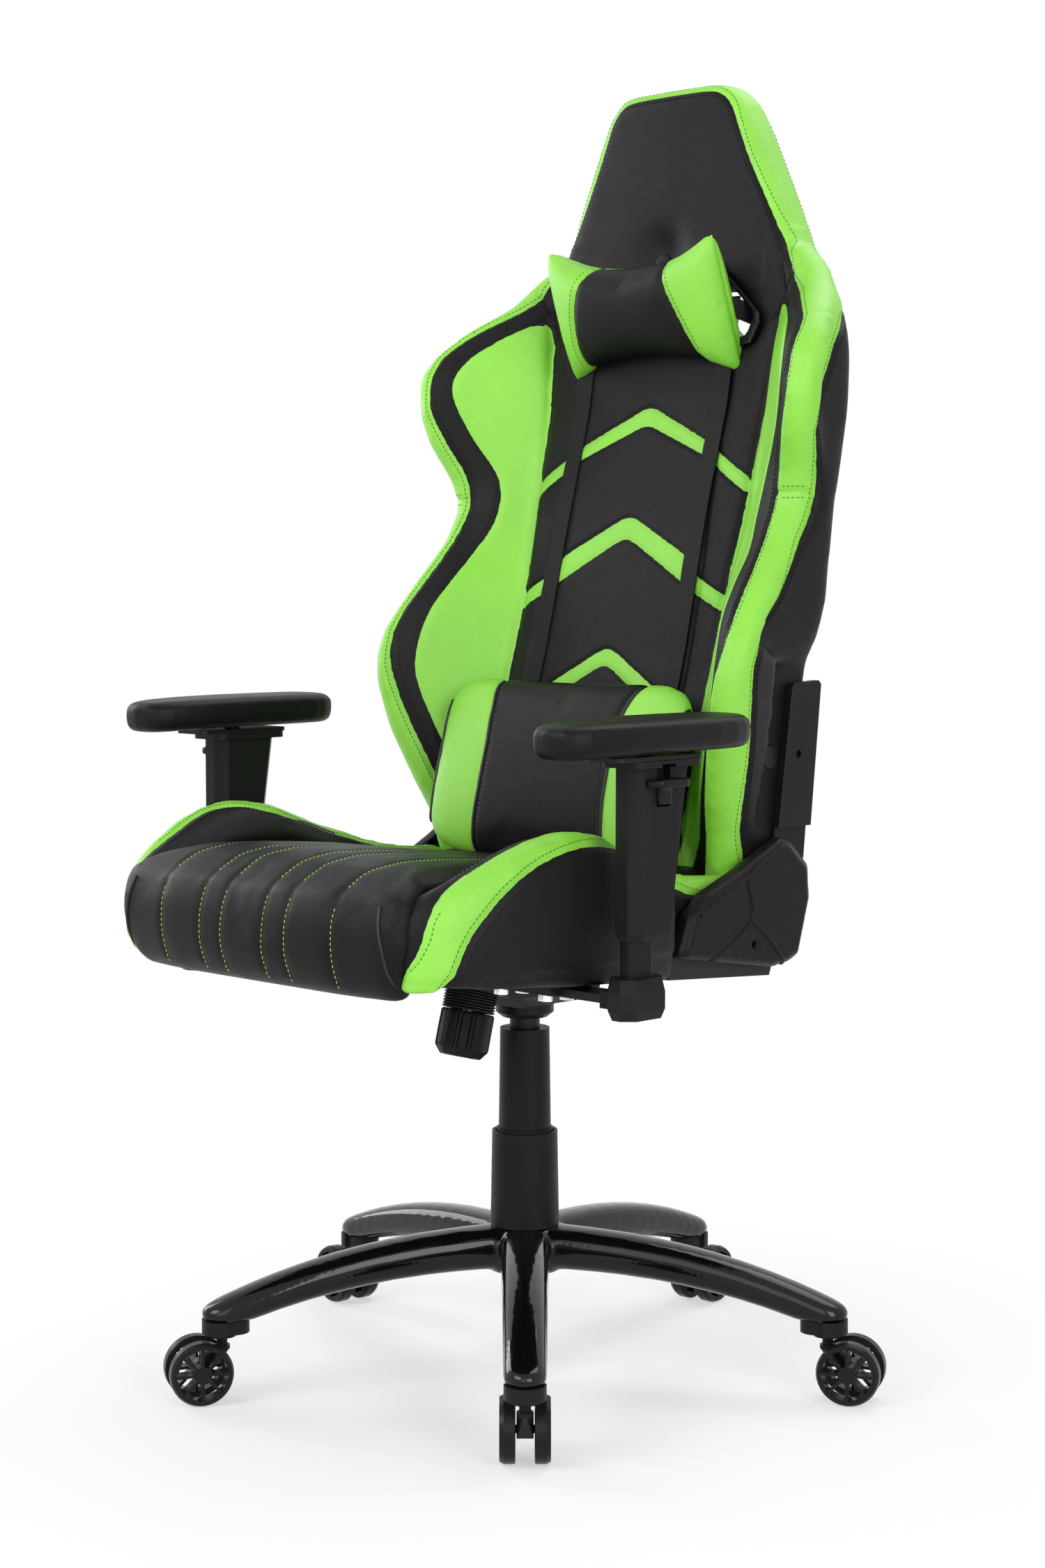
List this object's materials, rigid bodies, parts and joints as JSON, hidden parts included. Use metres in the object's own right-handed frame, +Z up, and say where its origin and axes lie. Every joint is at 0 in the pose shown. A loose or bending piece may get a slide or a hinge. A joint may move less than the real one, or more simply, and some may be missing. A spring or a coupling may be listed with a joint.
{
  "type": "gaming chair",
  "caption": "Racing-style gaming chair in black and lime green, with neck pillow, lumbar cushion, adjustable armrests, tilt and a swivel base on casters.",
  "frame": {"origin": "On the floor, under the axis of the gas column.", "axes": "+Z up, the chair faces -Y, +X is the sitter's left."},
  "size_m": [0.7186, 0.7505, 1.336],
  "materials": {
    "leather_black": "black PU leather, fine grain",
    "leather_green": "lime green PU leather, fine grain",
    "plastic_black": "textured black",
    "steel_black": "satin black powder coat",
    "steel_gloss": "gloss black paint",
    "steel_zinc": "zinc plated",
    "foam_black": "soft black skin",
    "wheel_black": "smooth black",
    "webbing_black": "woven black webbing"
  },
  "bodies": {
    "base": {"star_base": "steel_gloss", "caster_sockets": "plastic_black", "gas_tube": "steel_black", "column_cover_lower": "plastic_black"},
    "lift": {"gas_piston": "steel_black", "column_cover_upper": "plastic_black"},
    "mechanism": {"tilt_housing": "steel_black", "tension_spring": "steel_black", "tension_bolt": "steel_zinc", "mechanism_pins": "steel_zinc"},
    "tension_knob": {"tension_knob": "plastic_black"},
    "height_lever": {"height_lever": "steel_black"},
    "seat": {"seat_plate": "steel_black", "seat_bolts": "steel_zinc", "seat_frame": "steel_black", "seat_cushion": "leather_black", "seat_bolster_left": "leather_green", "seat_bolster_right": "leather_green", "arm_brackets": "steel_black", "arm_post_left": "plastic_black", "arm_post_right": "plastic_black", "recliner_plates": "steel_black", "recliner_cover_left": "plastic_black", "recliner_cover_right": "plastic_black", "recline_shaft": "steel_zinc"},
    "recline_lever": {"recline_lever": "plastic_black"},
    "arm_left": {"arm_sleeve_left": "plastic_black"},
    "arm_right": {"arm_sleeve_right": "plastic_black"},
    "arm_button_left": {"arm_button_left": "plastic_black"},
    "arm_button_right": {"arm_button_right": "plastic_black"},
    "slider_left": {"pad_slider_left": "steel_black"},
    "slider_right": {"pad_slider_right": "steel_black"},
    "pad_left": {"arm_pad_left": "foam_black"},
    "pad_right": {"arm_pad_right": "foam_black"},
    "backrest": {"back_brackets": "plastic_black", "back_frame": "steel_black", "backrest_cushion": "leather_black", "back_wing_left": "leather_green", "back_wing_right": "leather_green", "neck_pillow": "leather_green", "lumbar_cushion": "leather_black", "cushion_straps": "webbing_black", "slot_bezels": "plastic_black"},
    "caster_1": {"caster_housing_1": "plastic_black"},
    "wheel_1a": {"caster_wheel_1a": "wheel_black"},
    "wheel_1b": {"caster_wheel_1b": "wheel_black"},
    "caster_2": {"caster_housing_2": "plastic_black"},
    "wheel_2a": {"caster_wheel_2a": "wheel_black"},
    "wheel_2b": {"caster_wheel_2b": "wheel_black"},
    "caster_3": {"caster_housing_3": "plastic_black"},
    "wheel_3a": {"caster_wheel_3a": "wheel_black"},
    "wheel_3b": {"caster_wheel_3b": "wheel_black"},
    "caster_4": {"caster_housing_4": "plastic_black"},
    "wheel_4a": {"caster_wheel_4a": "wheel_black"},
    "wheel_4b": {"caster_wheel_4b": "wheel_black"},
    "caster_5": {"caster_housing_5": "plastic_black"},
    "wheel_5a": {"caster_wheel_5a": "wheel_black"},
    "wheel_5b": {"caster_wheel_5b": "wheel_black"}
  },
  "joints": [
    {"name": "seat_lift", "type": "slide", "parent": "base", "child": "lift", "axis": [0, 0, 1], "range_m": [-0.08, 0]},
    {"name": "seat_swivel", "type": "hinge", "parent": "lift", "child": "mechanism", "pos_m": [0, 0, 0.38], "axis": [0, 0, 1], "continuous": true},
    {"name": "seat_tilt", "type": "hinge", "parent": "mechanism", "child": "seat", "pos_m": [0, 0.025, 0.414], "axis": [-1, 0, 0], "range_deg": [0, 12], "stiffness_Nm_per_rad": 220, "springref_deg": -14.32},
    {"name": "tension_knob_turn", "type": "hinge", "parent": "mechanism", "child": "tension_knob", "pos_m": [0, -0.08765, 0.36353], "axis": [0, 0.2588, 0.9659], "continuous": true},
    {"name": "height_lever_pull", "type": "hinge", "parent": "mechanism", "child": "height_lever", "pos_m": [-0.052, -0.044, 0.406], "axis": [-0.7071, 0.7071, 0], "range_deg": [0, 3], "stiffness_Nm_per_rad": 2, "springref_deg": -8.02},
    {"name": "backrest_recline", "type": "hinge", "parent": "seat", "child": "backrest", "pos_m": [0, 0.138, 0.498], "axis": [-1, 0, 0], "range_deg": [0, 75]},
    {"name": "recline_lever_pull", "type": "hinge", "parent": "seat", "child": "recline_lever", "pos_m": [-0.25, 0.138, 0.498], "axis": [-1, 0, 0], "range_deg": [0, 25], "stiffness_Nm_per_rad": 0.6, "springref_deg": -20.05},
    {"name": "arm_height_left", "type": "slide", "parent": "seat", "child": "arm_left", "axis": [0, 0, 1], "range_m": [-0.03, 0.045]},
    {"name": "arm_button_left", "type": "slide", "parent": "arm_left", "child": "arm_button_left", "axis": [0, 0, 1], "range_m": [0, 0.004], "stiffness_N_per_m": 400, "springref_m": -0.002},
    {"name": "pad_slide_left", "type": "slide", "parent": "arm_left", "child": "slider_left", "axis": [0, 1, 0], "range_m": [-0.025, 0.025]},
    {"name": "pad_swivel_left", "type": "hinge", "parent": "slider_left", "child": "pad_left", "pos_m": [0.297, -0.1435, 0.67], "axis": [0, 0, 1], "range_deg": [-15, 15]},
    {"name": "arm_height_right", "type": "slide", "parent": "seat", "child": "arm_right", "axis": [0, 0, 1], "range_m": [-0.03, 0.045]},
    {"name": "arm_button_right", "type": "slide", "parent": "arm_right", "child": "arm_button_right", "axis": [0, 0, 1], "range_m": [0, 0.004], "stiffness_N_per_m": 400, "springref_m": -0.002},
    {"name": "pad_slide_right", "type": "slide", "parent": "arm_right", "child": "slider_right", "axis": [0, 1, 0], "range_m": [-0.025, 0.025]},
    {"name": "pad_swivel_right", "type": "hinge", "parent": "slider_right", "child": "pad_right", "pos_m": [-0.297, -0.1435, 0.67], "axis": [0, 0, 1], "range_deg": [-15, 15]},
    {"name": "caster_swivel_1", "type": "hinge", "parent": "base", "child": "caster_1", "pos_m": [0.22627, -0.22627, 0.07], "axis": [0, 0, 1], "continuous": true},
    {"name": "wheel_spin_1a", "type": "hinge", "parent": "caster_1", "child": "wheel_1a", "pos_m": [0.19764, -0.22097, 0.032], "axis": [-0.7071, -0.7071, 0], "continuous": true},
    {"name": "wheel_spin_1b", "type": "hinge", "parent": "caster_1", "child": "wheel_1b", "pos_m": [0.22097, -0.19764, 0.032], "axis": [-0.7071, -0.7071, 0], "continuous": true},
    {"name": "caster_swivel_2", "type": "hinge", "parent": "base", "child": "caster_2", "pos_m": [0.28512, 0.14528, 0.07], "axis": [0, 0, 1], "continuous": true},
    {"name": "wheel_spin_2a", "type": "hinge", "parent": "caster_2", "child": "wheel_2a", "pos_m": [0.29901, 0.17087, 0.032], "axis": [-0.454, 0.891, 0], "continuous": true},
    {"name": "wheel_spin_2b", "type": "hinge", "parent": "caster_2", "child": "wheel_2b", "pos_m": [0.314, 0.14147, 0.032], "axis": [-0.454, 0.891, 0], "continuous": true},
    {"name": "caster_swivel_3", "type": "hinge", "parent": "base", "child": "caster_3", "pos_m": [-0.05006, 0.31606, 0.07], "axis": [0, 0, 1], "continuous": true},
    {"name": "wheel_spin_3a", "type": "hinge", "parent": "caster_3", "child": "wheel_3a", "pos_m": [-0.07011, 0.33718, 0.032], "axis": [-0.9877, -0.1564, 0], "continuous": true},
    {"name": "wheel_spin_3b", "type": "hinge", "parent": "caster_3", "child": "wheel_3b", "pos_m": [-0.03752, 0.34235, 0.032], "axis": [-0.9877, -0.1564, 0], "continuous": true},
    {"name": "caster_swivel_4", "type": "hinge", "parent": "base", "child": "caster_4", "pos_m": [-0.31606, 0.05006, 0.07], "axis": [0, 0, 1], "continuous": true},
    {"name": "wheel_spin_4a", "type": "hinge", "parent": "caster_4", "child": "wheel_4a", "pos_m": [-0.34235, 0.03752, 0.032], "axis": [-0.1564, -0.9877, 0], "continuous": true},
    {"name": "wheel_spin_4b", "type": "hinge", "parent": "caster_4", "child": "wheel_4b", "pos_m": [-0.33718, 0.07011, 0.032], "axis": [-0.1564, -0.9877, 0], "continuous": true},
    {"name": "caster_swivel_5", "type": "hinge", "parent": "base", "child": "caster_5", "pos_m": [-0.14528, -0.28512, 0.07], "axis": [0, 0, 1], "continuous": true},
    {"name": "wheel_spin_5a", "type": "hinge", "parent": "caster_5", "child": "wheel_5a", "pos_m": [-0.14147, -0.314, 0.032], "axis": [0.891, -0.454, 0], "continuous": true},
    {"name": "wheel_spin_5b", "type": "hinge", "parent": "caster_5", "child": "wheel_5b", "pos_m": [-0.17087, -0.29901, 0.032], "axis": [0.891, -0.454, 0], "continuous": true}
  ]
}
